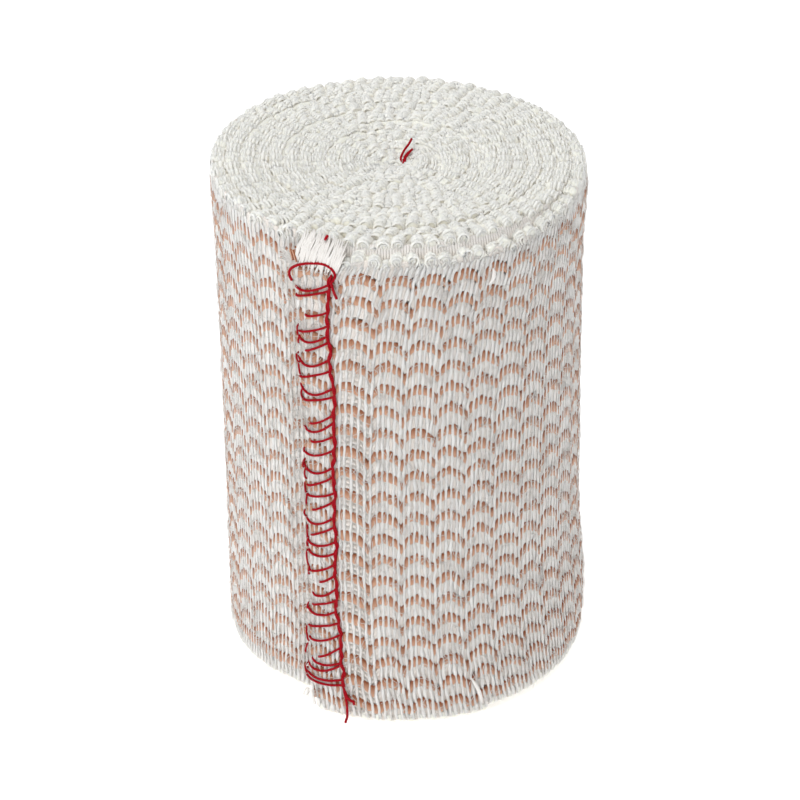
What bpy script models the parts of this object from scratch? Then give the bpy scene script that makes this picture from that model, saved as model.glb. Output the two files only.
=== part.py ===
"""Crepe bandage roll: a strip of elastic crepe cloth, wound on itself and stood on edge, its outer end free.

Metres, +Z up. The origin is the middle of the base. The front, where the free end lies, faces -Y.
Run with blender --background --python part.py, or from Blender's text editor.
"""

from math import cos, pi, radians, sin, tau

import bmesh
import bpy

# Driving dimensions, in metres
STRIP_WIDTH = 0.0745  # the bandage's width, which stands upright in the roll
OUTER_RADIUS = 0.0266  # from the winding's axis to the cut end of the strip
TURN_PITCH = 0.00195  # the radius lost in one turn, which is one layer of relaxed crepe
CORE_RADIUS = 0.0016  # the tightest turn, where the strip was first folded
CORE_DEPTH = 0.0018  # how far the middle of the top face sinks
END_THICKNESS = 0.0015  # the free end, thinner than the pitch, so that it clears the turn beneath
END_LIFT = 0.0004  # how far the middle of the free end bellies off the roll
BUTT_GAP = 0.0004  # between the free end's root and the turn that it goes on as
END_DROP = 0.0019  # how much lower the free end sits than the turn beneath
LEAN = 0.0005  # how far the top leans to the left, and the foot to the right
WAIST = 0.0002  # how far the roll draws in at half height
FOOT_ROUNDING = 0.00055  # how far the outer turn's lower edge rises off the surface
TUCK_RISE = 0.0018  # how much further it rises where it slips under the free end
FOOT_INSET = 0.0016  # how far inside the outer face the flat base begins
RIDGE_HEIGHT = 0.0004  # how far the turns stand over the grooves between them, on top
EDGE_WANDER = 0.00035  # how far the strip's upper edge rises and falls along the winding
TOP_SAG = 0.0005  # how much lower the innermost turn stands than the outermost

# Angles about the axis, counter-clockwise from +X as seen from above
CUT_END_ANGLE = radians(239)  # the strip's cut end, left of the middle of the front
FREE_SWEEP = radians(130)  # how much of the outer turn is free
DROP_SWEEP = radians(90)  # the stretch over which the free end climbs to the level of the other turns
TUCK_SWEEP = radians(100)  # the stretch over which the outer turn's foot climbs to slip under the free end

TURN_STEPS = 60  # facets in one turn
HEIGHT_STEPS = 8  # facets from foot to top
COLLECTION_NAME = "crepe_bandage_roll"

ROLL_HEIGHT = STRIP_WIDTH + END_DROP
# A spiral's box isn't centred on its axis: the axis is moved a quarter of the pitch, and a share of the
# free end's belly, so that the box is.
AXIS_X = -TURN_PITCH / 4
AXIS_Y = TURN_PITCH / 4 + END_LIFT / 3


def clear_scene():
    for thing in list(bpy.data.objects):
        bpy.data.objects.remove(thing, do_unlink=True)


def smooth_step(value):
    """0 below 0, 1 above 1, and a smooth climb between."""
    value = min(1.0, max(0.0, value))
    return value * value * (3 - 2 * value)


def edge_wander(turned):
    """How far the strip's upper edge lies from its level at an angle along the winding: 0 or less."""
    waves = 0.5 * sin(1.7 * turned + 0.6) + 0.3 * sin(0.61 * turned + 2.0) + 0.2 * sin(4.3 * turned)
    return EDGE_WANDER * (waves - 1)


def place(turned, inward, height):
    """A point of the winding: angle wound back from the cut end, depth inside the outer face, and height."""
    share = height / ROLL_HEIGHT
    radius = OUTER_RADIUS - TURN_PITCH * turned / tau - inward
    radius -= WAIST * sin(pi * share) * radius / OUTER_RADIUS
    angle = CUT_END_ANGLE + turned
    lean = LEAN * (1 - 2 * share)
    return (AXIS_X + lean + radius * cos(angle), AXIS_Y + radius * sin(angle), height)


def groove_level(turned):
    """The height of the groove outside a turn, on the top face."""
    sag = TOP_SAG * TURN_PITCH * turned / tau / OUTER_RADIUS
    return ROLL_HEIGHT - RIDGE_HEIGHT - sag + edge_wander(turned)


def foot_level(turned):
    """The height of the outer turn's lower edge, highest where it slips under the free end."""
    before_tuck = smooth_step((turned - tau + TUCK_SWEEP) / TUCK_SWEEP)
    after_tuck = smooth_step((turned - tau) / (TUCK_SWEEP / 2))
    return FOOT_ROUNDING + TUCK_RISE * before_tuck * (1 - after_tuck)


def material(name, colour, roughness):
    made = bpy.data.materials.new(name)
    made.use_nodes = True
    shader = made.node_tree.nodes["Principled BSDF"]
    shader.inputs["Base Color"].default_value = (*colour, 1)
    shader.inputs["Roughness"].default_value = roughness
    shader.inputs["Metallic"].default_value = 0
    return made


def add_object(name, bm, finish):
    mesh = bpy.data.meshes.new(name)
    bm.to_mesh(mesh)
    bm.free()
    mesh.materials.append(finish)
    mesh.shade_smooth()
    mesh.set_sharp_from_angle(angle=radians(60))
    thing = bpy.data.objects.new(name, mesh)
    bpy.data.collections[COLLECTION_NAME].objects.link(thing)
    return thing


def ring_pairs(columns):
    """Each neighbouring pair of a closed ring."""
    return zip(columns, columns[1:] + columns[:1])


def add_side(bm, angles):
    """The side over one turn, closed by the step at the free end's root, as columns of points."""
    columns = []
    for turned in angles:
        foot = foot_level(turned)
        climb = (groove_level(turned) - foot) / HEIGHT_STEPS
        levels = [foot + climb * row for row in range(HEIGHT_STEPS + 1)]
        columns.append([bm.verts.new(place(turned, 0, level)) for level in levels])
    for left, right in ring_pairs(columns):
        for low in range(HEIGHT_STEPS):
            bm.faces.new((left[low], right[low], right[low + 1], left[low + 1]))
    return columns


def add_top(bm, angles, rim):
    """Every turn as a low ridge between two grooves, from the rim, the outermost groove, in to the core."""
    grooves = rim + [bm.verts.new(place(turned, 0, groove_level(turned))) for turned in angles[len(rim) :]]
    ridges = []
    for turned in angles[:-TURN_STEPS]:
        ridges.append(bm.verts.new(place(turned, TURN_PITCH / 2, groove_level(turned) + RIDGE_HEIGHT)))
    for index, (ridge, next_ridge) in enumerate(zip(ridges, ridges[1:])):
        inner = index + TURN_STEPS
        bm.faces.new((grooves[index], grooves[index + 1], next_ridge, ridge))
        bm.faces.new((ridge, next_ridge, grooves[inner + 1], grooves[inner]))
    bm.faces.new((grooves[0], ridges[0], grooves[TURN_STEPS]))

    innermost = grooves[-1 - TURN_STEPS :] + [ridges[-1]]
    to_axis = OUTER_RADIUS - TURN_PITCH * angles[-1] / tau
    core = bm.verts.new(place(angles[-1], to_axis, ROLL_HEIGHT - CORE_DEPTH))
    for first, second in ring_pairs(innermost):
        bm.faces.new((first, second, core))


def add_base(bm, angles, columns):
    """A bevelled foot, and inside it one flat face, which the roll stands on."""
    sole = [bm.verts.new(place(turned, FOOT_INSET, 0)) for turned in angles]
    for (left, left_sole), (right, right_sole) in ring_pairs(list(zip(columns, sole))):
        bm.faces.new((left[0], right[0], right_sole, left_sole))
    bm.faces.new(sole)


def wound_roll(finish):
    bm = bmesh.new()
    turns = (OUTER_RADIUS - CORE_RADIUS) / TURN_PITCH - FREE_SWEEP / tau
    angles = [FREE_SWEEP + tau * index / TURN_STEPS for index in range(int(turns * TURN_STEPS) + 1)]
    outline = angles[: TURN_STEPS + 1]
    columns = add_side(bm, outline)
    add_top(bm, angles, [column[-1] for column in columns])
    add_base(bm, outline, columns)
    bmesh.ops.recalc_face_normals(bm, faces=bm.faces)
    add_object("wound_roll", bm, finish)


def free_end(finish):
    """The loose outer end: an open sheet on the winding's outermost face, thickened inwards."""
    bm = bmesh.new()
    bmesh.ops.create_grid(bm, x_segments=36, y_segments=12, size=0.5)
    sweep = FREE_SWEEP - BUTT_GAP / OUTER_RADIUS
    for vert in bm.verts:
        turned = (vert.co.x + 0.5) * sweep
        share = vert.co.y + 0.5
        climbed = END_DROP * smooth_step(turned / DROP_SWEEP)
        foot = climbed * 0.35
        head = ROLL_HEIGHT - RIDGE_HEIGHT - END_DROP + climbed + edge_wander(3 * turned)
        belly = END_LIFT * sin(pi * turned / sweep) * (0.7 + 0.3 * sin(5 * share + turned))
        vert.co = place(turned, -belly, foot + (head - foot) * share)
    thing = add_object("free_end", bm, finish)

    thicken = thing.modifiers.new("Thickness", "SOLIDIFY")
    thicken.thickness = END_THICKNESS
    thicken.offset = -1
    round_edges = thing.modifiers.new("Soft edges", "BEVEL")
    round_edges.width = END_THICKNESS / 5
    round_edges.segments = 1
    round_edges.limit_method = "ANGLE"
    round_edges.angle_limit = radians(50)


clear_scene()
bpy.context.scene.collection.children.link(bpy.data.collections.new(COLLECTION_NAME))
wound_roll(material("crepe_cloth", (0.80, 0.76, 0.70), 0.92))
free_end(material("crepe_free_end", (0.78, 0.70, 0.62), 0.92))
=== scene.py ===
from math import atan2, ceil, cos, pi, radians, sin, sqrt, tau

import bpy
import numpy as np
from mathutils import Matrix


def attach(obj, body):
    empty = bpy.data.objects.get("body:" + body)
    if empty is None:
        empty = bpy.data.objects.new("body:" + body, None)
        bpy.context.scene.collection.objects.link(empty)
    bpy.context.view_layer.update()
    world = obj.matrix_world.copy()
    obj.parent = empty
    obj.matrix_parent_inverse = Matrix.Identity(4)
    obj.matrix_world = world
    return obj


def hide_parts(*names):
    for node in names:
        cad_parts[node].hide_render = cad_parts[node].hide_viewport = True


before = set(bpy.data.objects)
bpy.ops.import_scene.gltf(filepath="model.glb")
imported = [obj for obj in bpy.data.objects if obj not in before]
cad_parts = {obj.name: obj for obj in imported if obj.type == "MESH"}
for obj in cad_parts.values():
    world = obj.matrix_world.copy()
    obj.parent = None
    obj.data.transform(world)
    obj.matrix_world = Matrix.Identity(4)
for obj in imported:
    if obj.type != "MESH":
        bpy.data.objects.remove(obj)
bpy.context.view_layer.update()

# ---------------------------------------------------------------------------------------------------------
# The strip. The bandage is one strip of elastic crepe, about 1.06 m long when relaxed, wound on itself with
# no tube and stood on its edge. This section says where it lies: a place on it is the angle wound back from
# the cut end, the distance below the upper edge, and the depth inside the outer face. A share is that of the
# strip's width, from the upper edge down.

STRIP_WIDTH = 0.0745
OUTER_RADIUS = 0.0266  # from the winding's axis to the cut end
TURN_PITCH = 0.00195  # the radius lost in one turn
ROLL_HEIGHT = 0.0764
CUT_END_ANGLE = radians(238.1)  # counter-clockwise from +X, seen from above
INNER_END = 12.8 * tau  # where the strip's inner end lies
# A spiral's box isn't centred on its axis: the axis is moved a quarter of the pitch, and a little more in Y
# for the free end's belly, so that the box is.
AXIS_X = -TURN_PITCH / 4
AXIS_Y = TURN_PITCH / 4 + 0.000133

LEAN = 0.0005  # how far the top leans to the left, and the foot to the right
WAIST = 0.0002  # how far the roll draws in at half height
# How far the outer turns spread, at which share most, and how far from it that reaches.
RIM_FLARE = (0.0004, 0.05, 0.07)
FOOT_FLARE = (0.0007, 0.88, 0.1)  # this one on the right
FRONT_FLARE = (0.0011, 0.82, 1)  # and this one in front, from one share to another
FRONT_MIDDLE = 0.3  # how far to the right of the front that one is widest, as an angle
END_PRESS = (0.0005, 0.14)  # how much flatter the seam at the cut end lies, and over which angle
# The second turn's rim leans out over the free end, in front: how far, where along the winding that begins,
# round which angle of the roll, over how many turns it fades, and down to which shares it reaches.
RIM_LEAN = 0.0008
RIM_LEAN_BEGINS = (tau - 0.3, tau + 0.2)
RIM_LEAN_MIDDLE = (radians(290), 1.1)
RIM_LEAN_FADES = 1.5
RIM_LEAN_REACH = (0.03, 0.1)

TOP_TILT = 0.02  # the top face falls by this share towards the back
EDGE_WANDER = 0.0003  # how far the upper edge rises and falls
EDGE_WAVES = ((0.5, 1.7, 0.6), (0.3, 0.61, 2), (0.2, 4.3, 0))  # its waves: share, rate and phase
TOP_SAG = 0.0012  # how much lower the middle of the top face lies
END_DROP = 0.0021  # how much lower the free end sits than the turn beneath
CLIMB = (radians(45), radians(112))  # the stretch over which it climbs to that turn's level
# The strip keeps its width, so its lower edge is raised too: by a small step, a little more after that, and
# most where it slips under the free end. Each is how far, and the stretch. Then it comes down again.
FOOT_RISES = (
    (0.0006, radians(54), radians(56.5)),
    (0.0001, radians(60), radians(140)),
    (0.0011, tau - radians(45), tau),
)
FOOT_FALL = (tau, tau + radians(35))
FOOT_LOBES = 0.00012  # how far the lower edge waves up and down

# The yarns have slipped along the winding. Each slip is how far at the edge, and over which share it fades,
# and then the two stretches over which it sets in and ends: to the right towards the upper edge, in front,
# the same towards the foot, and to the left towards the upper edge, on the left.
RIGHT_SLIPS = ((0.0019, 0.11), (0.0022, 0.34))
RIGHT_STRETCHES = ((-0.03, 0.21), (1.8, 3.3))
FOOT_SLIP = (0.0015, 0.1)
FOOT_STRETCHES = ((-0.1, 0), (1.8, 3.3))
LEFT_SLIP = (0.0016, 0.3)
LEFT_STRETCHES = ((4.2, 5.2), (5.9, 6.28))
# Between one row of elastic and the next they slant, most near the upper edge in front.
ROW_PITCH = 0.00339
FIRST_ROW = 0.0036  # from the upper edge to the first row's middle
SLANT = (0.00011, 0.3)
SLANT_STRETCHES = ((-0.06, 0.04), (1.6, 2.4))
SLANT_ELSEWHERE = 0.00003  # how far, either way, all round
SLANT_LAG = 0.3  # how far below a row they slant most, as a share of the pitch

CORE_FOLD = (1.45, 0.72)  # the innermost turns are wound on a flat fold: wider in X, narrower in Y
CORE_REACH = 0.0055  # the radius within which they are


def smooth_step(value):
    """0 below 0, 1 above 1, and a smooth climb between."""
    value = np.clip(value, 0, 1)
    return value * value * (3 - 2 * value)


def bell(value, middle, spread):
    return np.exp(-(((value - middle) / spread) ** 2))


def between(value, low, high):
    return smooth_step((value - low) / (high - low))


def within(value, sets_in, ends):
    """0 before the first of two stretches, 1 between them, and 0 again after the second."""
    return between(value, *sets_in) * (1 - between(value, *ends))


def crest(turned):
    """The height of the strip's upper edge, its loops included, without the top face's tilt."""
    waves = sum(part * np.sin(rate * turned + phase) for part, rate, phase in EDGE_WAVES)
    sag = TOP_SAG * (TURN_PITCH * turned / tau / OUTER_RADIUS) ** 2
    drop = END_DROP * (1 - between(turned, *CLIMB))
    return ROLL_HEIGHT + EDGE_WANDER * waves - sag - drop


def foot(turned):
    """The height of the strip's lower edge, its loops included. Its lobes are uneven, about 4 mm long."""
    raised = sum(height * between(turned, *stretch) for height, *stretch in FOOT_RISES)
    lobes = np.sin(41 * turned + 2 * np.sin(7 * turned)) * np.sin(17 * turned + 1)
    return raised * (1 - between(turned, *FOOT_FALL)) + FOOT_LOBES * (1 + lobes)


def slip(turned, share):
    """How far along the winding a yarn has slipped."""
    moved = sum(far * np.exp(-share / reach) for far, reach in RIGHT_SLIPS)
    moved = moved * within(turned, *RIGHT_STRETCHES)
    at_foot = within(turned, *FOOT_STRETCHES)
    moved = moved + FOOT_SLIP[0] * np.exp((share - 1) / FOOT_SLIP[1]) * at_foot
    rows = tau * ((share * STRIP_WIDTH - FIRST_ROW) / ROW_PITCH - SLANT_LAG)
    slant = SLANT[0] * np.exp(-share / SLANT[1]) * within(turned, *SLANT_STRETCHES)
    slant = slant + SLANT_ELSEWHERE * np.sin(5 * turned + 9 * share)
    moved = moved + slant * (np.sin(rows) + 0.5 * np.sin(2 * rows))
    return moved - LEFT_SLIP[0] * within(turned, *LEFT_STRETCHES) * np.exp(-share / LEFT_SLIP[1])


def on_roll(turned, across, inward, slipped=1.0):
    """Points of the winding, in metres, as the last axis of an array. slipped is how far the slip counts."""
    turned, across, inward = np.broadcast_arrays(turned, across, inward)
    share = across / STRIP_WIDTH
    top = crest(turned)
    height = top + (foot(turned) - top) * share
    radius = OUTER_RADIUS - TURN_PITCH * turned / tau - inward
    angle = CUT_END_ANGLE + turned + slipped * slip(turned, share) / OUTER_RADIUS

    outer_share = np.clip(radius / OUTER_RADIUS, 0, 1)  # its powers keep the flares to the outer turns
    on_right = np.cos(angle).clip(0, 1)
    in_front = (-np.sin(angle - FRONT_MIDDLE)).clip(0, 1)
    radius = radius - WAIST * np.sin(pi * share) * outer_share
    radius = radius + RIM_FLARE[0] * bell(share, *RIM_FLARE[1:]) * outer_share**6
    radius = radius + FOOT_FLARE[0] * bell(share, *FOOT_FLARE[1:]) * on_right * outer_share**4
    radius = radius + FRONT_FLARE[0] * between(share, *FRONT_FLARE[1:]) * in_front * outer_share**6
    radius = radius - END_PRESS[0] * bell(turned, 0, END_PRESS[1])
    leaning = between(turned, *RIM_LEAN_BEGINS) * bell(angle % tau, *RIM_LEAN_MIDDLE)
    leaning = leaning * np.exp((1 - turned / tau) / RIM_LEAN_FADES).clip(0, 1)
    radius = radius + RIM_LEAN * leaning * (1 - between(share, *RIM_LEAN_REACH))

    folded = 1 - smooth_step(radius / CORE_REACH)
    x = radius * np.cos(angle) * (1 + (CORE_FOLD[0] - 1) * folded)
    y = radius * np.sin(angle) * (1 + (CORE_FOLD[1] - 1) * folded)
    height = height - TOP_TILT * y * (1 - share)
    return np.stack([AXIS_X + LEAN * (1 - 2 * height / ROLL_HEIGHT) + x, AXIS_Y + y, height], axis=-1)


# ---------------------------------------------------------------------------------------------------------
# The ground. Seen between the yarns is the cloth's own back: thin, undyed and in shade. It is one sheet over
# the strip's whole length, and all the yarns below are attached to the same body, root, as it.

GROUND_DEPTH = 0.00092
GROUND_THICKNESS = 0.0003
GROUND_MARGIN = 0.0014  # the selvedge loops stand proud of it by this much
GROUND_START = 0.035  # how far back from the cut it begins, under the seam, as an angle
GROUND_STEPS_A_TURN = 60
GROUND_LEVELS = 22
# Both colours are darker than the white yarns: partly the undyed cotton's own, partly painted shade of the
# cloth deep behind them.
GROUND_COLOUR = (0.84, 0.79, 0.74)
GROUND_SHADE = (0.76, 0.70, 0.64)
UV_MAP = "OFBake"  # the map that holds each yarn in a field of its own


class Wire:
    """A node's output that takes part in sums: each operation on it adds a Math node."""

    def __init__(self, finish, socket):
        self.finish, self.socket = finish, socket

    def math(self, operation, *values):
        return self.finish.node("ShaderNodeMath", {"operation": operation}, dict(enumerate(values)))

    def __add__(self, other):
        return self.math("ADD", self, other)

    def __sub__(self, other):
        return self.math("SUBTRACT", self, other)

    def __rsub__(self, other):
        return self.math("SUBTRACT", other, self)

    def __mul__(self, other):
        return self.math("MULTIPLY", self, other)

    __radd__, __rmul__ = __add__, __mul__

    def sin(self):
        return self.math("SINE", self)


class Finish:
    """A finish of cloth, thread or floor: a Principled shader, which each recipe below feeds with nodes."""

    def __init__(self, name, roughness, sheen, specular=0.25, scatter=0.0):
        self.material = bpy.data.materials.new(name)
        self.material.use_nodes = True
        self.tree = self.material.node_tree
        self.shader = self.tree.nodes["Principled BSDF"]
        self.shader.inputs["Roughness"].default_value = roughness
        self.shader.inputs["Sheen Weight"].default_value = sheen
        self.shader.inputs["Sheen Roughness"].default_value = 0.6
        self.shader.inputs["Specular IOR Level"].default_value = specular
        self.shader.inputs["Subsurface Weight"].default_value = scatter
        self.shader.inputs["Subsurface Radius"].default_value = (1.0, 0.98, 0.96)
        self.shader.inputs["Subsurface Scale"].default_value = 0.0004

    def feed(self, socket, value):
        if isinstance(value, Wire):
            self.tree.links.new(value.socket, socket)
        else:
            socket.default_value = value

    def node(self, kind, settings, sockets, output=0):
        """Any node: its settings are set first, and then its sockets get values or links."""
        made = self.tree.nodes.new(kind)
        for name, value in settings.items():
            setattr(made, name, value)
        for key, value in sockets.items():
            self.feed(made.inputs[key], value)
        return Wire(self, made.outputs[output])

    def mix(self, first, second, share):
        """A colour between two, by share."""
        sockets = {0: share, 6: first, 7: second}
        return self.node("ShaderNodeMix", {"data_type": "RGBA"}, sockets, output=2)

    def noise(self, scale, detail, where):
        return self.node("ShaderNodeTexNoise", {}, {"Vector": where, "Scale": scale, "Detail": detail})

    def place(self):
        return self.node("ShaderNodeTexCoord", {}, {}, output="Object")

    def bump(self, height, strength, distance):
        sockets = {"Height": height, "Strength": strength, "Distance": distance}
        self.feed(self.shader.inputs["Normal"], self.node("ShaderNodeBump", {}, sockets))

    def colour(self, wire):
        self.feed(self.shader.inputs["Base Color"], wire)


def rgba(colour):
    return (*colour, 1.0)


def ground_finish():
    """Undyed cotton ground: a fine, fuzzy grain with uneven shade, its colours partly darkened as painted
    shade.
    """
    finish = Finish("cotton_ground", roughness=0.95, sheen=0.2)
    where = finish.place()
    uneven = finish.noise(900.0, 3.0, where)
    fine = finish.noise(5200.0, 2.0, where)
    finish.colour(finish.mix(rgba(GROUND_SHADE), rgba(GROUND_COLOUR), uneven * 0.5 + fine * 0.5))
    finish.bump(fine * 0.6 + uneven * 0.4, 0.5, 0.0003)
    return finish.material


def add_mesh(name, points, corners, starts, material):
    """A smooth object from arrays: its points, each face's corners in turn, and where each face's start."""
    mesh = bpy.data.meshes.new(name)
    mesh.vertices.add(len(points))
    mesh.vertices.foreach_set("co", points.astype(np.float32).ravel())
    mesh.loops.add(len(corners))
    mesh.loops.foreach_set("vertex_index", corners.astype(np.int32))
    mesh.polygons.add(len(starts))
    mesh.polygons.foreach_set("loop_start", starts.astype(np.int32))
    mesh.update(calc_edges=True)
    mesh.validate()
    mesh.shade_smooth()
    mesh.materials.append(material)
    thing = bpy.data.objects.new(name, mesh)
    bpy.context.scene.collection.objects.link(thing)
    return thing


def grid_corners(columns, rows):
    """The corners of a grid's quads, its points being numbered column by column."""
    first = (np.arange(columns - 1)[:, None] * rows + np.arange(rows - 1)[None, :]).ravel()
    return np.stack([first, first + 1, first + rows + 1, first + rows], axis=1).ravel()


ground_turns = np.arange(GROUND_START, INNER_END, tau / GROUND_STEPS_A_TURN)
ground_levels = np.linspace(GROUND_MARGIN, STRIP_WIDTH - GROUND_MARGIN, GROUND_LEVELS)
ground_points = on_roll(ground_turns[:, None], ground_levels[None, :], GROUND_DEPTH).reshape(-1, 3)
ground_corners = grid_corners(len(ground_turns), len(ground_levels))
ground = add_mesh(
    "crepe_strip", ground_points, ground_corners, np.arange(0, len(ground_corners), 4), ground_finish()
)
ground_map = ground.data.uv_layers.new(name=UV_MAP)
ground_place = np.stack(np.divmod(ground_corners, GROUND_LEVELS), axis=1)
ground_place = ground_place / (len(ground_turns) - 1, GROUND_LEVELS - 1)
ground_map.uv.foreach_set("vector", ground_place.astype(np.float32).ravel())
thicken = ground.modifiers.new("Thickness", "SOLIDIFY")
thicken.thickness = GROUND_THICKNESS
thicken.offset = 0
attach(ground, "root")
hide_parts("wound_roll", "free_end")

# ---------------------------------------------------------------------------------------------------------
# The picks: soft white cotton yarns that cross the strip from edge to edge, 0.75 mm apart, and turn back at
# its edges in loops. Six of them make a bunch, over which the rows of elastic drop in an arch. Beside the
# seam the cloth is pulled open.

PICK_PITCH = 0.00074
HIDDEN_PITCH = 0.000756  # round the back they lie a little further apart
INNER_PITCH = 0.00072  # and in the turns inside, closer
PICK_HALF_WIDTH = 0.000245
PICK_HALF_DEPTH = 0.00014
PICK_DEPTH = 0.00016  # where its middle lies inside the outer face
PICK_SWELL = 0.17  # how unevenly a pick swells along its length, as a share
PICK_STEP = 0.0008  # from one point of it to the next
PICK_WAVE = 0.00001  # how far a pick sinks where it crosses an elastic yarn, and rises between them
PICK_WANDER = (0.00006, 0.00004)  # how far it strays along the winding, in a long wave and a short one
PICK_DRIFT = 0.000013  # and at random from one point to the next
PICK_TONES = (0.5, 1)  # from its warm colour, 0, to its light one, 1
YARN_UNEVEN = 0.13  # how uneven a yarn's surface is, as a share of its half size
FIRST_PICK = 0.0008 / OUTER_RADIUS  # 0.8 mm in from the cut
LAST_PICK = tau + 0.06  # one turn on, just under the free end
LOOP_MARGIN = 0.0017  # where a pick goes over into its loop
FOOT_MARGIN = 0.0001  # where it ends at the foot
FREE_SWEEP = radians(130)  # how much of the outer turn is the free end
OPEN_AT = (0.315, 0.085)  # the pulled-open cloth: where along the winding, and how far it reaches
OPEN_WIDER = 0.28  # how much further apart its picks lie, as a share
OPEN_SLIMMER = 0.1
BUNCH = 6
ARCH = np.array([0.12, -0.02, -0.04, 0.05, 0.17, 0.50]) * ROW_PITCH  # how much lower each gap lies
COTTON_LIGHT = (0.97, 0.935, 0.89)
COTTON_WARM = (0.87, 0.80, 0.73)
COTTON_TWIST = 1.6  # turns of its two plies in a millimetre
YARN_MAP = "yarn"  # how far round the yarn, as a share, and how far along it, in millimetres


def round_and_along(finish):
    """The yarn map's two values, as wires."""
    yarn = {"Vector": finish.node("ShaderNodeUVMap", {"uv_map": YARN_MAP}, {})}
    return [finish.node("ShaderNodeSeparateXYZ", {}, yarn, output=axis) for axis in ("X", "Y")]


def two_plies(round_it, along, twist):
    """The grooves between a yarn's two plies, from 0 to 1, by its turns in a millimetre."""
    return ((round_it + along * twist) * (2 * tau)).sin() * 0.5 + 0.5


def cotton_finish(name, light, warm, scatter=1.0):
    """Soft twisted cotton: each yarn has its own tone, or painted shading along a loop, and fine slanting
    ply grooves with painted shade.
    """
    finish = Finish(name, roughness=0.92, sheen=0.15, scatter=scatter)
    where = finish.place()
    plies = two_plies(*round_and_along(finish), COTTON_TWIST)
    fibres = finish.noise(7000.0, 3.0, where)
    tone = finish.node("ShaderNodeAttribute", {"attribute_name": "tone"}, {}, output="Fac")
    # The ply grooves darken the colour a little: painted shade, on top of their bump.
    finish.colour(finish.mix(rgba(warm), rgba(light), tone * 0.45 + fibres * 0.6 + plies * 0.15))
    finish.bump(plies * 0.5 + fibres * 0.5, 0.6, 0.00014)
    return finish.material


def off_roll(lines):
    """At each point, the level direction off the roll."""
    outward = lines - (AXIS_X, AXIS_Y, 0)
    outward[..., 2] = 0
    return outward / (np.linalg.norm(outward, axis=-1, keepdims=True) + 1e-12)


def frames_along(lines, upright):
    """At each point of each line, two directions across it: off the roll, and beside that. They never twist,
    and in an upright yarn the second one is straight down."""
    if upright:
        return off_roll(lines), np.broadcast_to((0.0, 0.0, -1.0), lines.shape)
    along = np.gradient(lines, axis=1)
    along /= np.linalg.norm(along, axis=2, keepdims=True) + 1e-12
    outward = off_roll(lines[:, 0])
    parallel = np.abs((outward * along[:, 0]).sum(1, keepdims=True)) > 0.9
    across = np.where(parallel, (0, 0, 1), outward)
    every = np.empty_like(lines)
    for step in range(lines.shape[1]):
        across = across - (across * along[:, step]).sum(1, keepdims=True) * along[:, step]
        across = across / (np.linalg.norm(across, axis=1, keepdims=True) + 1e-12)
        every[:, step] = across
    return every, np.cross(along, every)


def section(profile, off, beside):
    """A yarn's cross-section at each point: a unit profile, times its half sizes off the roll and beside."""
    off, beside = np.broadcast_arrays(off, beside)
    return np.stack([off[..., None] * profile[:, 0], beside[..., None] * profile[:, 1]], axis=-1)


def round_profile(sides):
    turn = tau * np.arange(sides) / sides
    return np.stack([np.cos(turn), np.sin(turn)], axis=1)


# Profiles of (off the roll, beside), from one side over the front to the other.
HALF_ROUND = np.array([(0.0, -1.0), (0.8, -0.62), (1.0, 0.0), (0.8, 0.62), (0.0, 1.0)])
FLAT = np.array([(0.0, -1.0), (1.0, -0.8), (1.0, 0.8), (0.0, 1.0), (-1.0, 0.8), (-1.0, -0.8)])
# A yarn's field in the map of fields, from 0 to 1 each way.
SIDE_WIDE = (0.08, 0.84)  # where its side begins in the field, and how much of it that takes
SIDE_LONG = (0.06, 0.94)  # from and to where it goes the other way
CAP_PLACES = (0.03, 0.97)
CAP_SIZE = (0.3, 0.02)


def yarn_corners(yarns, steps, sides):
    """The corners of the quads round each yarn, and of its two end caps, as numbers of points."""
    number = np.arange(yarns * steps * sides).reshape(yarns, steps, sides)
    after = np.roll(number, -1, axis=2)
    quads = np.stack([number[:, :-1], after[:, :-1], after[:, 1:], number[:, 1:]], axis=-1)
    return quads, np.stack([number[:, 0, ::-1], number[:, -1]], axis=1)


def side_places(lines, sides):
    """At each corner of those quads: how far round the yarn, how far down its field, and the millimetres
    along it."""
    yarns, steps = lines.shape[:2]
    gone = np.linalg.norm(np.diff(lines, axis=1), axis=2).cumsum(axis=1) * 1000
    gone = np.concatenate([np.zeros((yarns, 1)), gone], axis=1)
    share = np.linspace(*SIDE_LONG, steps)
    round_it, down, along = (np.empty((yarns, steps - 1, sides, 4)) for _ in range(3))
    for corner, (ahead, further) in enumerate(((0, 0), (1, 0), (1, 1), (0, 1))):
        round_it[..., corner] = (np.arange(sides) + ahead) / sides
        down[..., corner] = share[further : steps - 1 + further, None]
        along[..., corner] = gone[:, further : steps - 1 + further, None]
    return round_it, down, along


def in_fields(fields, shape, across, down):
    """Places within fields of a map with that many columns and rows, as places in the whole map."""
    places = []
    for value, own, count in ((across, fields % shape[0], shape[0]), (down, fields // shape[0], shape[1])):
        places.append((own.reshape(-1, *[1] * (down.ndim - 1)) + value) / count)
    return np.stack(np.broadcast_arrays(*places), axis=-1).reshape(-1, 2)


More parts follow.
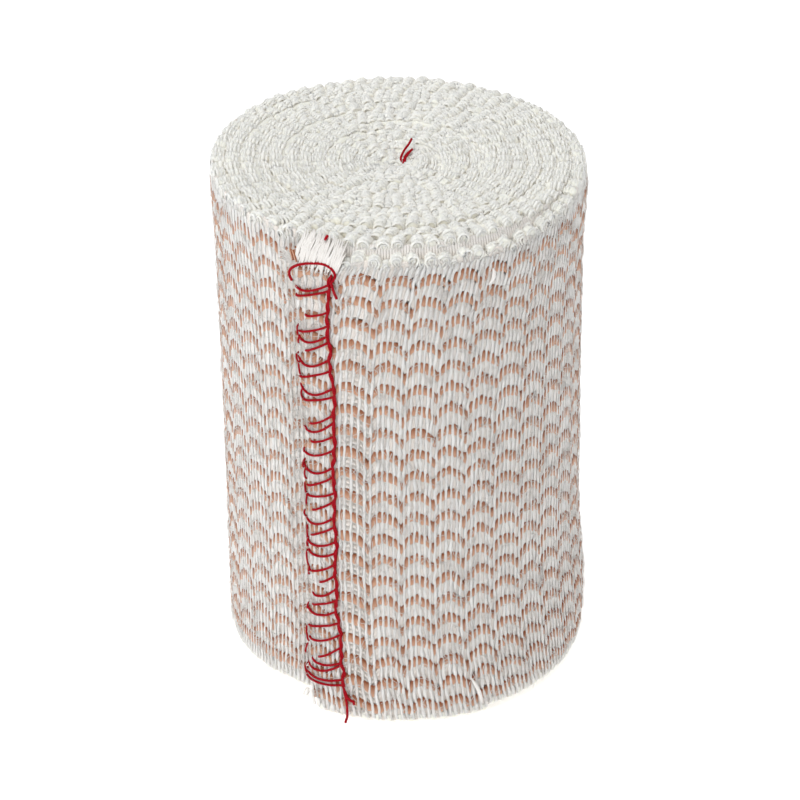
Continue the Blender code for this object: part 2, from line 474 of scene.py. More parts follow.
def add_yarns(name, batches, material, upright=False, rough=0.0):
    """Yarns as closed tubes in one mesh. A batch is lines (yarn, point, xyz), their cross-sections, which
    broadcast to (yarn, point, corner, 2), and a tone for each yarn or point. rough is how uneven they
    are, as a share of their half size."""
    points, corners, starts, places, lengths, tones = [], [], [], [], [], []
    count = corner_count = yarn_count = 0
    total = sum(len(lines) for lines, *_ in batches)
    longest = max(lines.shape[1] for lines, *_ in batches)
    fields_high = max(1, round(sqrt(total * 5 / (2 * longest))))  # so that a field suits a long, thin yarn
    shape = (ceil(total / fields_high), fields_high)
    for lines, sections, tone in batches:
        yarns, steps = lines.shape[:2]
        sides = sections.shape[-2]
        sections = np.broadcast_to(sections, (yarns, steps, sides, 2))
        out, side = frames_along(lines, upright)
        uneven = 1 + rough * random.normal(0, 1, (yarns, steps, sides, 1)).clip(-2, 2)
        rings = out[:, :, None] * sections[..., :1] + side[:, :, None] * sections[..., 1:]
        points.append((lines[:, :, None] + rings * uneven).reshape(-1, 3))
        tone = tone if np.ndim(tone) == 2 else np.asarray(tone)[:, None]
        tones.append(np.repeat(np.broadcast_to(tone, (yarns, steps)).ravel(), sides))
        quads, caps = yarn_corners(yarns, steps, sides)
        corners += [quads.ravel() + count, caps.ravel() + count]
        starts.append(corner_count + 4 * np.arange(quads.size // 4))
        starts.append(corner_count + quads.size + sides * np.arange(2 * yarns))

        own = yarn_count + np.arange(yarns)
        turn = tau * np.arange(sides) / sides
        round_it, down, along = side_places(lines, sides)
        cap_down = np.array(CAP_PLACES)[None, :, None] + CAP_SIZE[1] * np.sin(turn)
        places.append(in_fields(own, shape, SIDE_WIDE[0] + SIDE_WIDE[1] * round_it, down))
        places.append(in_fields(own, shape, 0.5 + CAP_SIZE[0] * np.cos(turn), cap_down))
        lengths.append(np.stack([round_it, along], axis=-1).reshape(-1, 2))
        lengths.append(np.broadcast_to((0.5, 0.0), (caps.size, 2)))
        count += yarns * steps * sides
        corner_count += quads.size + caps.size
        yarn_count += yarns

    thing = add_mesh(name, np.concatenate(points), np.concatenate(corners), np.concatenate(starts), material)
    for map_name, values in ((UV_MAP, places), (YARN_MAP, lengths)):
        layer = thing.data.uv_layers.new(name=map_name)
        layer.uv.foreach_set("vector", np.concatenate(values).astype(np.float32).ravel())
    shade = thing.data.attributes.new("tone", "FLOAT", "POINT")
    shade.data.foreach_set("value", np.concatenate(tones).astype(np.float32))
    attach(thing, "root")
    return thing


def pick_turns(first, last):
    """Where each pick lies along the winding, wider apart where the seam pulls the cloth open."""
    where, found = first, []
    while where < last:
        found.append(where)
        radius = OUTER_RADIUS - TURN_PITCH * where / tau
        spread = 1 + OPEN_WIDER * bell(where, *OPEN_AT)
        pitch = np.select([where < CLIMB[1], where < LAST_PICK], [PICK_PITCH, HIDDEN_PITCH], INNER_PITCH)
        where += float(pitch) * spread / radius
    return np.array(found)


random = np.random.default_rng(7)
cotton = cotton_finish("cotton_yarn", COTTON_LIGHT, COTTON_WARM)
picks_at = pick_turns(FIRST_PICK, LAST_PICK)
pick_levels = np.arange(LOOP_MARGIN, STRIP_WIDTH - FOOT_MARGIN, PICK_STEP)


def pick_lines(turns, number, levels, weave, depth, loose=1.0):
    """The picks as lines: each wanders a little, and rises and sinks with the rows."""
    yarns = len(turns)
    phase = random.uniform(0, tau, (yarns, 1))
    lowered = (ARCH[(number - 1) % BUNCH] + ARCH[number % BUNCH])[:, None] / 2
    rows = (levels - FIRST_ROW - lowered) / ROW_PITCH
    wander = PICK_WANDER[0] * np.sin(rows * 0.7 * tau + phase)
    wander = wander + PICK_WANDER[1] * np.sin(rows * tau + 2.3 * phase)
    drift = np.cumsum(random.normal(0, PICK_DRIFT, (yarns, len(levels))), axis=1)
    drift -= np.linspace(0, 1, len(levels)) * drift[:, -1:]
    turned = turns[:, None] + loose * (wander + drift) / OUTER_RADIUS
    return on_roll(turned, levels[None, :], depth + weave * np.cos(rows * tau))


def add_picks(name, turns, number, slimmed):
    lines = pick_lines(turns, number, pick_levels, PICK_WAVE, PICK_DEPTH)
    swell = slimmed * (1 + PICK_SWELL * random.normal(0, 1, lines.shape[:2]).clip(-1.5, 1.5))
    tone = random.uniform(*PICK_TONES, len(turns))
    sizes = section(HALF_ROUND, PICK_HALF_DEPTH * swell, PICK_HALF_WIDTH * swell)
    return add_yarns(name, [(lines, sizes, tone)], cotton, rough=YARN_UNEVEN)


free_count = int(np.searchsorted(picks_at, FREE_SWEEP))
open_share = bell(picks_at[:free_count], *OPEN_AT)[:, None]
pick_numbers = np.arange(len(picks_at))
free_picks = add_picks(
    "picks_free_end", picks_at[:free_count], pick_numbers[:free_count], 1 - OPEN_SLIMMER * open_share
)
body_picks = add_picks("picks_outer_turn", picks_at[free_count:], pick_numbers[free_count:], 1.0)

# ---------------------------------------------------------------------------------------------------------
# The elastic yarns: tan, covered with fine thread, one in each of 21 rows that run along the strip behind
# the picks. They show in the gaps between picks, drop at every sixth gap, and so draw the rows of arches.

TAN_HALF_HEIGHT = 0.00092
TAN_HEIGHTS = (0.72, 1.15)  # the least and the most of that from one point to another, as shares
TAN_HALF_DEPTH = 0.0003
TAN_UNEVEN = 0.04
TAN_DEPTHS = (0.00046, 0.00024)  # its middle, behind a pick and where it swells into the gap beside it
TAN_TWIST = 2.0  # turns of its cover in a millimetre
TAN_LIGHT = (0.70, 0.39, 0.25)
TAN_PAINTED_SHADOW = (0.30, 0.088, 0.028)
ROW_COUNT = 21
GAP_STRAYS = 0.00012  # how far a gap lies off its row's arch
LOWEST_GAP = 0.0023  # how far above the lower edge the lowest ones keep
LOWEST_LEFT = (0.0012, 4.5, 5.2)  # how much further on the left, and the stretch over which that sets in


def tan_finish():
    """Tan covered elastic: fine turns of thread round it, and a painted shadow in the gap's upper part."""
    finish = Finish("tan_elastic", roughness=0.85, sheen=0.25)
    where = finish.place()
    round_it, along = round_and_along(finish)
    # Painted shadow: darker towards the yarn's upper side, under the band above, and a little painted shade
    # in its cover's grooves.
    lower = round_it * 5.5 - 1.2
    turns = two_plies(round_it, along, TAN_TWIST)
    uneven = finish.noise(1400.0, 3.0, where)
    finish.colour(finish.mix(rgba(TAN_PAINTED_SHADOW), rgba(TAN_LIGHT), lower + turns * 0.2 + uneven * 0.7))
    finish.bump(turns * 0.7 + uneven * 0.3, 0.6, 0.0002)
    return finish.material


# A row swells in the middle of each gap and changes its level behind the picks: two points for each gap.
gap_count = len(picks_at) - 1
gap_levels = ARCH[np.arange(gap_count) % BUNCH] + random.normal(0, GAP_STRAYS, (ROW_COUNT, gap_count))
gap_levels = gap_levels + FIRST_ROW + ROW_PITCH * np.arange(ROW_COUNT)[:, None]
lowest_gaps = STRIP_WIDTH - LOWEST_GAP - LOWEST_LEFT[0] * between(picks_at[:-1], *LOWEST_LEFT[1:])
gap_levels = np.minimum(gap_levels, lowest_gaps)
before = np.concatenate([gap_levels[:, :1], gap_levels[:, :-1]], axis=1)
row_levels = np.stack([(before + gap_levels) / 2, gap_levels], axis=2).reshape(ROW_COUNT, -1)
gap_turned = np.interp(np.arange(2 * gap_count) / 2, pick_numbers, picks_at)
tan_heights = TAN_HALF_HEIGHT * random.uniform(*TAN_HEIGHTS, (ROW_COUNT, 2 * gap_count))
tan_lines = on_roll(gap_turned[None, :], row_levels, np.tile(TAN_DEPTHS, gap_count))
tan_rows = add_yarns(
    "elastic_rows",
    [(tan_lines, section(FLAT, TAN_HALF_DEPTH, tan_heights), random.uniform(0, 1, ROW_COUNT))],
    tan_finish(),
    upright=True,
    rough=TAN_UNEVEN,
)

# ---------------------------------------------------------------------------------------------------------
# The ground warps: soft white yarns that run along the strip, three between each pair of elastic ones. They
# lie against each other as one band, which follows the arches; where the cloth is pulled open they part.

# Darker than the picks' cotton and held to its darker tones: painted shade where the band lies back between
# the picks.
WARPS_LIGHT = (0.87, 0.825, 0.785)
WARPS_WARM = (0.71, 0.645, 0.585)
WARPS_TONES = (0.1, 0.5)
BAND_BELOW = 0.001705  # from an elastic yarn's middle down to its band's
BAND_HALF_HEIGHT = 0.00115
BAND_HALF_DEPTH = 0.0003
BAND_DEPTH = 0.00041
BAND_UNEVEN = 0.05
LOWEST_BAND = 0.0015  # how far above the lower edge the lowest band's middle keeps
FOOT_SINK = (0.00006, 0.06, 0.065)  # how much deeper it lies near the foot, and between which levels
BAND_CLOSED = (0.22, 4.2, 5.0)  # how much higher it is on the left, as a share, and over which stretch
BAND_OPENED = (0.8, 0.010, 0.030)  # it parts in this share of the pulled-open cloth, and from these levels
# Across the band, from top to bottom: the place as a share of its half height, and how far off the roll,
# as a share of its half depth, where the yarns lie close, and where they part.
BAND_PROFILE = (
    (-1.0, 0.0, 0.0), (-0.86, 1.0, 0.5), (-0.62, 1.0, 1.0), (-0.34, 0.86, -0.9),
    (-0.12, 1.0, 0.9), (0.12, 1.0, 0.9), (0.34, 0.86, -0.9), (0.62, 1.0, 1.0),
    (0.86, 1.0, 0.5), (1.0, 0.0, 0.0), (0.0, -1.0, -1.0),
)

band_turned = (picks_at[1:] + picks_at[:-1]) / 2
band_levels = np.concatenate([gap_levels[:1] - ROW_PITCH, gap_levels]) + BAND_BELOW
band_levels = np.minimum(band_levels, STRIP_WIDTH - LOWEST_BAND)
band_depths = BAND_DEPTH + FOOT_SINK[0] * between(band_levels, *FOOT_SINK[1:])
band_lines = on_roll(band_turned[None, :], band_levels, band_depths)
beside, close, parted = (np.array(column) for column in zip(*BAND_PROFILE))
opened = bell(band_turned, OPEN_AT[0], OPEN_AT[1] * BAND_OPENED[0]) * between(band_levels, *BAND_OPENED[1:])
off = BAND_HALF_DEPTH * (close + (parted - close) * opened[..., None])
band_heights = BAND_HALF_HEIGHT * (1 + BAND_CLOSED[0] * between(band_turned, *BAND_CLOSED[1:]))
band_sections = np.stack([off, band_heights[:, None] * np.broadcast_to(beside, off.shape)], axis=-1)
bands = add_yarns(
    "ground_warps",
    [(band_lines, band_sections, random.uniform(*WARPS_TONES, (len(band_lines), len(band_turned))))],
    cotton_finish("cotton_warps", WARPS_LIGHT, WARPS_WARM),
    upright=True,
    rough=BAND_UNEVEN,
)

# ---------------------------------------------------------------------------------------------------------
# The selvedge loops. At each edge the picks turn back in plump round loops, each of four soft strands side
# by side through the cloth's thickness round a full core: two tall loops and a low one to a bunch of picks.
# They stand on a soft cord, and another fills the groove between one turn and the next.

LOOP_WIDTH = 0.00142  # across a tall loop's round head, between the middles of its strand
LOOP_WIDTHS = (0.08, 0.84, 1.16)  # how unevenly wide the loops are, and the least and the most, as shares
LOOP_DOWN = 0.00022  # how far below the edge the top of a tall loop's strand has its middle
LOOP_DOWNS = (0.0001, -0.0002, 0.0003)  # how uneven that is, and the least and the most
LOOP_TURNS = 1.3  # the turns whose loops show more than their tops
LOOP_ENDS = (radians(232), radians(-52))  # where their heads go over into their legs
SHORT_ENDS = (radians(195), radians(-15))  # the same in the turns inside
HEAD_POINTS, SMALL_POINTS, SHORT_POINTS = 8, 7, 6  # round a head, the small loop in it, and a head inside
LEG_BELOW = 0.0004  # how far the legs reach below the head
LEG_SPREAD = 0.35  # the furthest that a leg stands off the loop's middle, as a share of its size
TIGHTEST_TURN = 0.003  # the least radius by which a loop's width is laid along the winding
# The four strands from the face to the back: their depths, half their thickness, and how far they lie down.
LOOP_DEPTHS = (0.00020, 0.00066, 0.00118, 0.00168)
LOOP_STRANDS = (0.00020, 0.00028, 0.00028, 0.00026)
LOOP_CROWN = (0.00012, 0.00003, 0.0, 0.00014)
LOOP_SHEAR = 0.00005  # how far each is shifted along the winding from its outer neighbour
BACK_SHEAR = (0.00016, radians(115), radians(45))  # how much more at the back, round which angle, how far
STRAND_SWELL = (0.1, 0.75, 1.25)  # how unevenly thick they are, and the least and the most, as shares
# How far a strand strays from its place: in size, as a share, and in shear, height, depth and bow.
STRAND_STRAYS = (0.05, 0.00013, 0.00007, 0.00005, 0.00006)
STRAND_PAINTED_SHADING = ((0, 0.35, 1), (0.9, 0.45, 0.15))  # how far down the loop, and the tone there: painted light on the head, painted shade further down
TONE_STRAYS = 0.2
SMALL_LOOP = (0.5, 0.00015, 0.00014)  # the one inside a head: its share of the width, depth and radius
# The loops of one bunch: where the head is, and where its two picks are, as shares of the bunch.
BUNCH_LOOPS = ((0.20, 0.25), (0.63, 0.583), (0.917, 0.917))
HEAD_STRAYS = 0.018
LOW_SEEN = (0.66, 0.0010)  # a low loop's width as a share of a tall one's, and its drop, where a face shows
LOW_INSIDE = (0.88, 0.00022)  # the same elsewhere
FACE_ENDS = (radians(60), radians(120))  # the stretch over which the free end's face stops showing its loops
RIM_SHOWS = ((tau - radians(25), tau), (tau + 1.7, tau + 2.1))  # and those over which the rim behind it does
# A loop's core through the cloth's thickness: how deep, its radius as a share, and its tone, a painted
# shade.
CORE_DEPTHS = (0.00012, 0.00026, 0.00096, 0.00165, 0.0018)
CORE_RADII = (0.66, 0.92, 1.0, 0.96, 0.7)
CORE_PAINTED_SHADE = (0.0, 0.3, 0.4, 0.3, 0.0)
CORE_FILLS = 0.00014  # how far it swells between its loop's strands
FOOT_LOOP = 1.1  # a foot loop's width as a share
FOOT_LOOP_UP = 0.00012  # how far above the lower edge it keeps
# The warm colour serves both the loops' uneven tone and their painted shade in pits and grooves.
LOOPS_LIGHT = (0.98, 0.95, 0.875)
LOOPS_WARM = (0.955, 0.895, 0.785)
CORD_DEPTH = 0.00096
CORD_RADIUS = 0.0008
CORD_BELOW = 0.0011  # how far below the edge it lies
CORD_FOLLOWS = 0.9  # how much of a loop's drop it follows


def loop_places(turns):
    """The loops over whole bunches of picks: their heads' places, their picks' middles, spans and drops."""
    bunches = np.arange(0, len(turns) - BUNCH, BUNCH)
    starts, ends = turns[bunches], turns[bunches + BUNCH]
    heads, legs = (np.array(column) for column in zip(*BUNCH_LOOPS))
    jitter = random.normal(0, HEAD_STRAYS, (len(bunches), len(heads)))
    centres = (starts[:, None] + (ends - starts)[:, None] * (heads + jitter)).ravel()
    legs_at = (starts[:, None] + (ends - starts)[:, None] * legs).ravel()
    seen = 1 - between(centres, *FACE_ENDS) + within(centres, *RIM_SHOWS)
    is_low = np.tile((0, 0, 1), len(bunches))
    share = 1 - is_low * (1 - LOW_INSIDE[0] + (LOW_INSIDE[0] - LOW_SEEN[0]) * seen)
    spans = LOOP_WIDTH * share * random.normal(1, LOOP_WIDTHS[0], len(centres)).clip(*LOOP_WIDTHS[1:])
    down = LOOP_DOWN + is_low * (LOW_INSIDE[1] + (LOW_SEEN[1] - LOW_INSIDE[1]) * seen)
    down = down + random.normal(0, LOOP_DOWNS[0], len(centres)).clip(*LOOP_DOWNS[1:])
    return centres, legs_at, spans, down


def foot_places(places):
    """The same places at the foot, where the loops are pressed together into level lobes."""
    _, legs_at, spans, _ = places
    return legs_at, legs_at, np.full(spans.shape, LOOP_WIDTH * FOOT_LOOP), np.full(spans.shape, FOOT_LOOP_UP)


def loop_batch(places, strands, head_points, ends, radius):
    """Loops as lines: a leg, a round head and a leg, for each place and each strand of (depth, how much
    lower, width as a share)."""
    centres, legs_at, spans, down = (column[:, None, None] for column in places)
    stray_size, stray_shear, stray_height, stray_depth, stray_bow = STRAND_STRAYS
    head = np.linspace(*ends, head_points)
    loops, count = len(centres), len(strands)
    depths, lower, share = (np.array(column)[None, :, None] for column in zip(*strands))
    size = share * spans * (1 + random.normal(0, stray_size, (loops, count, 1)))
    radii = np.maximum(OUTER_RADIUS - TURN_PITCH * centres / tau, TIGHTEST_TURN)
    at_legs = (legs_at - centres) * radii * (depths < LOOP_DEPTHS[1])
    apart = np.minimum(PICK_PITCH / 2, LEG_SPREAD * size)
    along = np.concatenate([at_legs - apart, size * np.cos(head) / 2, at_legs + apart], axis=2)
    leg = size + LEG_BELOW
    below = np.concatenate([leg, (1 - np.sin(head)) / 2 * size, leg], axis=2)
    back = BACK_SHEAR[0] * bell((CUT_END_ANGLE + centres) % tau, *BACK_SHEAR[1:])
    shear = random.normal(LOOP_SHEAR, stray_shear, (loops, 1, 1)) + back
    along = along + shear * (np.arange(count) - (count - 1) / 2)[None, :, None]
    across = down + lower + (1 - share) * spans / 2 + below
    across = across + random.normal(0, stray_height, (loops, count, 1))
    bow = stray_bow * random.normal(0, 1, (loops, 1, 1)) * np.sin(pi * np.linspace(0, 1, head_points + 2))
    inward = depths + random.normal(0, stray_depth, (loops, count, 1)) + bow
    lines = on_roll(centres + along / radii, across, inward).reshape(loops * count, head_points + 2, 3)
    # Painted shading: lighter on the head, darker down the loop where shade falls, with a random stray.
    tone = np.interp(below / size, *STRAND_PAINTED_SHADING).reshape(loops * count, -1)
    tone = tone + random.uniform(-TONE_STRAYS, TONE_STRAYS, (loops * count, 1))
    swell = random.normal(1, STRAND_SWELL[0], tone.shape).clip(*STRAND_SWELL[1:])
    swell = np.tile(radius, loops)[:, None] * swell
    return lines, section(round_profile(4), swell, swell), tone


def from_edge(across, at_foot):
    """A distance from the upper edge or from the lower one, as one below the upper edge."""
    return STRIP_WIDTH - across if at_foot else across


def core_batch(places, at_foot):
    """The loops' full cores, which lie through the cloth's thickness and have rounded ends."""
    centres, _, spans, down = (column[:, None] for column in places)
    radius = (spans / 2 + CORE_FILLS * (not at_foot)) * np.array(CORE_RADII)
    lines = on_roll(centres, from_edge(down + spans / 2, at_foot), np.array(CORE_DEPTHS))
    return lines, section(round_profile(6), radius, radius), np.tile(CORE_PAINTED_SHADE, (len(lines), 1))


def cord_batch(places, at_foot, depth):
    """A cord as a line, which rises and sinks with the loops beside it."""
    centres, _, _, down = places
    order = np.argsort(centres)
    turned = centres[order]
    lines = on_roll(turned, from_edge(CORD_BELOW + CORD_FOLLOWS * down[order], at_foot), depth)[None]
    # The cords get tone 0, the warm colour: painted shade in the grooves where they lie.
    return lines, section(round_profile(6), np.full(turned.shape, CORD_RADIUS), CORD_RADIUS), np.array([0.0])


def add_loops(name, batches):
    return add_yarns(name, batches, cotton_loops, rough=YARN_UNEVEN / 2)


all_picks = pick_turns(FIRST_PICK, INNER_END)
outer_count = int(np.searchsorted(all_picks, tau * LOOP_TURNS)) // BUNCH * BUNCH
outer_places = loop_places(all_picks[: outer_count + 1])
inner_places = loop_places(all_picks[outer_count:])
all_places = [np.concatenate(pair) for pair in zip(outer_places, inner_places)]
cotton_loops = cotton_finish("cotton_loops", LOOPS_LIGHT, LOOPS_WARM)
strands = [(depth, lower, 1.0) for depth, lower in zip(LOOP_DEPTHS, LOOP_CROWN)]
small = [(SMALL_LOOP[1], 0.0, SMALL_LOOP[0])]
outer_loops = add_loops(
    "loops_outer",
    [
        loop_batch(outer_places, strands, HEAD_POINTS, LOOP_ENDS, LOOP_STRANDS),
        loop_batch(outer_places, small, SMALL_POINTS, LOOP_ENDS, SMALL_LOOP[2:]),
    ],
)
inner_loops = add_loops(
    "loops_inner", [loop_batch(inner_places, strands, SHORT_POINTS, SHORT_ENDS, LOOP_STRANDS)]
)
loop_cores = add_loops(
    "loop_cores", [core_batch(all_places, False), core_batch(foot_places(all_places), True)]
)
behind_a_turn = all_places[0] > CLIMB[1]
groove_places = [column[behind_a_turn] for column in all_places]
selvedge_cords = add_yarns(
    "selvedge_cords",
    [
        cord_batch(all_places, False, CORD_DEPTH),
        cord_batch(all_places, True, CORD_DEPTH),
        cord_batch(groove_places, False, TURN_PITCH),
    ],
    cotton_loops,
    rough=YARN_UNEVEN,
)

# ---------------------------------------------------------------------------------------------------------
# The second turn's margin. Above the free end, which sits lower, a finger's breadth of the next turn shows:
# its picks are finer there, lie close together and start inside its loops.

MARGIN_LEVELS = np.array([0.9, 1.3, 1.8, 2.4, 3.4, 4.6, 6.0, 7.5]) / 1000  # from its loops down
MARGIN_DEPTHS = np.interp(MARGIN_LEVELS, (0.0009, 0.0019), (0.0004, -0.00006))  # out from inside them
MARGIN_STEP = 0.00037  # between its picks
MARGIN_END = tau + radians(125)
MARGIN_HALF_DEPTH = 0.00012
MARGIN_HALF_WIDTH = 0.0002
MARGIN_LOOSE = 0.15  # how much of a pick's wandering it has
MARGIN_TONES = (0.2, 0.8)
FINE_LIGHT = (0.91, 0.885, 0.86)
FINE_WARM = (0.80, 0.755, 0.71)

fine_cotton = cotton_finish("cotton_fine", FINE_LIGHT, FINE_WARM, scatter=0.0)
margin_turns = np.arange(LAST_PICK, MARGIN_END, MARGIN_STEP / (OUTER_RADIUS - TURN_PITCH))
margin_numbers = np.arange(len(margin_turns))
margin_lines = pick_lines(margin_turns, margin_numbers, MARGIN_LEVELS, 0.0, MARGIN_DEPTHS, MARGIN_LOOSE)
margin_sections = section(HALF_ROUND, MARGIN_HALF_DEPTH, MARGIN_HALF_WIDTH)
margin = add_yarns(
    "picks_second_turn",
    [(margin_lines, margin_sections, random.uniform(*MARGIN_TONES, len(margin_turns)))],
    fine_cotton,
)

# ---------------------------------------------------------------------------------------------------------
# The overlock seam. Red sewing thread binds the raw cut: a needle thread 6 mm in from the cut, and looper
# threads that run from it over the edge in pairs, joined by short uprights along the edge. All of its places
# are in millimetres: below the upper edge, in from the cut, and off the cloth.

THREAD_RADIUS = 0.00017
THREAD_TWIST = 1.5  # turns of its two plies in a millimetre
THREAD_LIGHT = (0.47, 0.002, 0.012)
THREAD_PAINTED_SHADE = (0.20, 0.001, 0.005)
# Each stitch: how far below the upper edge it leaves the needle thread, how far below it meets the cut edge,
# how far in from the cut it ends, and how much it hangs between.
STITCHES = (
    (4.7, 6.2, 1.0, 0.7), (5.7, 7.7, 1.0, 0.1), (9.2, 10.4, 2.3, 0.2), (11.4, 13.2, 1.1, 0.2),
    (12.9, 13.8, 0.9, 1.0), (13.8, 16.0, 2.1, 0.1), (16.5, 17.4, 0.9, 1.1), (18.3, 20.4, 1.0, 0.1),
    (20.9, 21.6, 1.1, 1.2), (22.2, 23.8, 1.3, 0.2), (25.1, 27.3, 2.3, 0.3), (26.4, 28.0, 1.4, 1.0),
    (28.5, 30.2, 2.5, 0.2), (30.7, 32.0, 1.2, 0.7), (33.6, 34.2, 1.2, 1.1), (35.1, 37.5, 1.6, 0.2),
    (37.7, 38.9, 1.3, 0.4), (39.0, 41.3, 2.4, 0.1), (41.7, 42.9, 1.3, 0.9), (43.2, 45.5, 2.0, 0.1),
    (45.6, 46.4, 1.3, 0.8), (47.5, 48.1, 1.5, 0.7), (49.4, 51.4, 1.5, 0.4), (51.2, 53.0, 3.2, 0.1),
    (53.4, 55.1, 2.0, 0.7), (55.4, 57.1, 1.9, 0.1), (57.3, 57.8, 1.0, 0.9), (59.2, 61.0, 1.1, 0.1),
    (61.1, 62.9, 1.2, 0.6), (63.2, 65.7, 2.8, 0.1), (65.8, 66.4, 1.8, 0.5), (66.1, 67.4, 1.2, 0.9),
    (68.6, 68.8, 0.9, 0.6), (69.5, 69.6, 0.8, 0.45),
)
# Along a stitch: places as shares of it, and how far off the cloth it is there. It dives in at both ends.
STITCH_PLACES = (0, 0.12, 0.3, 0.5, 0.7, 0.88, 1.0, 1.04)
STITCH_OFF = (-0.05, 0.14, 0.16, 0.14, 0.16, 0.14, -0.05, -0.5)
# The needle thread's line.
NEEDLE_LINE = (
    (3.1, 6.5), (5, 6.2), (7.7, 5.95), (9.2, 5.7), (13, 5.6), (15, 6.0), (17.2, 5.7), (22, 6.4),
    (26, 6.1), (30, 6.2), (34, 5.8), (38, 6.0), (42, 5.8), (46, 6.1), (50, 5.7), (54, 6.0), (57, 5.7),
    (60, 6.3), (63, 6.4), (65.5, 6.4), (67, 6.8), (69, 6.7), (71, 7.1),
)
# The short uprights along the edge: from and to how far below the upper edge, and how far in from the cut.
EDGE_BITS = (
    (12.4, 14.0, 0.9), (13.8, 15.2, 1.1), (16.8, 18.3, 0.8), (18.0, 20.2, 1.0), (22.1, 23.8, 1.4),
    (31.5, 32.3, 1.3), (33.4, 35.0, 1.2), (34.8, 36.7, 1.5), (37.1, 39.0, 1.3), (38.8, 40.9, 1.5),
    (41.7, 42.9, 1.2), (44.0, 46.3, 1.4), (46.0, 47.8, 1.5), (48.0, 51.1, 1.4), (50.9, 52.4, 1.5),
    (57.2, 58.3, 1.1), (61.0, 64.0, 1.0), (64.2, 66.0, 0.8), (67.8, 69.4, 0.8),
)
# The long loose stitch across the top of the seam, and the loose ends, one of them on the second turn's rim.
TOP_ARC = (
    (5.4, 0.6), (4.6, 0.25), (3.8, 0.4), (3.1, 1.1), (2.4, 2.4), (1.9, 3.9),
    (1.7, 5.4), (2.1, 6.5), (2.8, 7.0), (3.5, 7.0), (4.4, 6.4),
)
TOP_ARC_OFF = 0.2
TAILS = (
    ((4.2, 6.5, 0.25), (5.3, 6.8, 0.35), (6.6, 7.2, 0.3)),
    ((70.6, 7.0, 0.3), (71.2, 7.5, 0.4), (71.6, 8.0, 0.4), (71.7, 8.3, 0.45), (72.2, 8.35, 0.35)),
    (
        (70.6, 7.0, 0.25), (72.0, 7.3, 0.3), (73.2, 7.4, 0.35), (74.2, 7.5, 0.7),
        (74.4, 7.5, 1.2), (74.45, 7.55, 1.7),
    ),
    ((-1.3, 5.3, -1.0), (-1.6, 5.5, -0.8), (-2.0, 5.7, -0.9)),
)
# These places are down the roll. On the strip they begin a little lower and lie closer together, and near
# the foot, where its edge is raised, they are higher.
SEAM_START = 0.00013
SEAM_CLOSER = 1.0058
SEAM_FOOT = (0.0005, 0.86, 1)


def thread_finish():
    """Crimson sewing thread: two plies, bright on their crowns and with painted shade between."""
    finish = Finish("red_thread", roughness=0.7, sheen=0.0, specular=0.12)
    plies = two_plies(*round_and_along(finish), THREAD_TWIST)
    uneven = finish.noise(2500.0, 2.0, finish.place())
    # Painted shade in the grooves between the plies, mixed with a random unevenness.
    finish.colour(finish.mix(rgba(THREAD_PAINTED_SHADE), rgba(THREAD_LIGHT), plies * 0.6 + uneven * 0.6))
    finish.bump(plies, 0.7, 0.0001)
    return finish.material


def smooth_line(points, count):
    """A smooth curve of that many points through the ones given, each span a cubic."""
    points = np.array(points, float)
    padded = np.concatenate([2 * points[:1] - points[1:2], points, 2 * points[-1:] - points[-2:-1]])
    place = np.linspace(0, len(points) - 1, count)
    span = np.minimum(place.astype(int), len(points) - 2)
    part = (place - span)[:, None]
    a, b, c, d = (padded[span + step] for step in range(4))
    return 0.5 * (
        2 * b + (c - a) * part + (2 * a - 5 * b + 4 * c - d) * part**2 + (3 * b - a - 3 * c + d) * part**3
    )


def on_seam(down, reach, off):
    """Points of the seam, from millimetres below the upper edge, in from the cut, and off the cloth."""
    down, reach, off = (np.asarray(value) / 1000 for value in (down, reach, off))
    raised = SEAM_FOOT[0] * between(down / STRIP_WIDTH, *SEAM_FOOT[1:])
    return on_roll(reach / OUTER_RADIUS, (down + SEAM_START) / SEAM_CLOSER - raised, -off, slipped=0.0)


def stitch_line(needle_down, edge_down, edge_reach, hang):
    """A looper thread from the needle thread to the cut edge, which hangs most in its outer half."""
    share = np.array(STITCH_PLACES)
    needle_reach = float(np.interp(needle_down, *zip(*NEEDLE_LINE)))
    reach = needle_reach + (edge_reach - needle_reach) * share
    sag = hang * np.sin(pi * share.clip(0, 1)) ** 0.8 * (0.5 + share)
    down = needle_down + (edge_down - needle_down) * share + sag
    return smooth_line(on_seam(down, reach, STITCH_OFF), 22)


def needle_strand(side):
    """One of the needle thread's two strands, which turn about each other and part a little."""
    down = np.linspace(NEEDLE_LINE[0][0], NEEDLE_LINE[-1][0], 260)
    reach = np.interp(down, *zip(*NEEDLE_LINE)) + 0.12 * np.sin(down * 2.6) * np.sin(down * 0.45)
    turning = down * 1.7 + pi * side + 0.8 * np.sin(down * 0.37)
    width = 0.07 + 0.09 * np.sin(down * 0.9 + side) ** 2
    return on_seam(down, reach + width * np.sin(turning), 0.16 + 0.1 * np.cos(turning))


def edge_line(top, bottom, reach):
    """A short upright along the edge, a little wavy, which dives in at both ends."""
    share = np.linspace(0, 1, 8)
    wave = reach + 0.12 * np.sin(3.1 * share + top) - 0.1 * np.sin(pi * share)
    return on_seam(top + (bottom - top) * share, wave, 0.16 - 0.5 * (2 * share - 1) ** 8)


def thread_batch(lines, radius, sides=8):
    return np.stack(lines), section(round_profile(sides), radius, radius), np.full(len(lines), 0.5)


